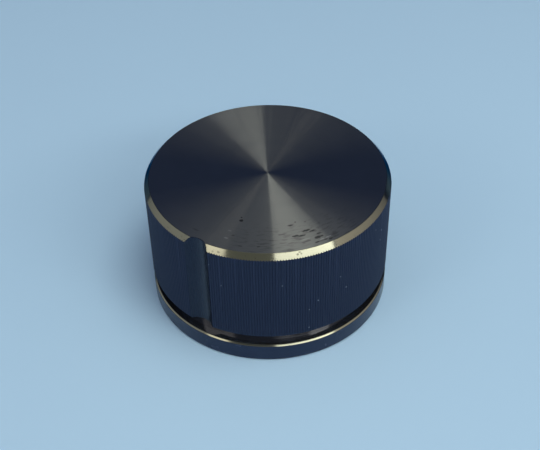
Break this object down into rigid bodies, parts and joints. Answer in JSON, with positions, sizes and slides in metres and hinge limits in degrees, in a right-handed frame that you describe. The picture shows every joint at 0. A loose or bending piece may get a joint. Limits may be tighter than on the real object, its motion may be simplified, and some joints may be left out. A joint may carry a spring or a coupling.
{
  "type": "control knob",
  "caption": "Round black anodised aluminium control knob with a knurled grip, pointer flute, grooved base flange, shaft bore and set screw.",
  "frame": {"origin": "on the shaft axis, at the flat base of the flange", "axes": "+Z along the shaft axis from the base to the top face, -Y towards the pointer flute, +Y towards the set screw"},
  "size_m": [0.038, 0.038, 0.0216],
  "materials": {
    "knob_body": "black anodised, turned top and flange, straight-knurled grip",
    "set_screw": "black oxide steel"
  },
  "bodies": {
    "root": {"knob_body": "knob_body", "set_screw": "set_screw"}
  },
  "joints": []
}
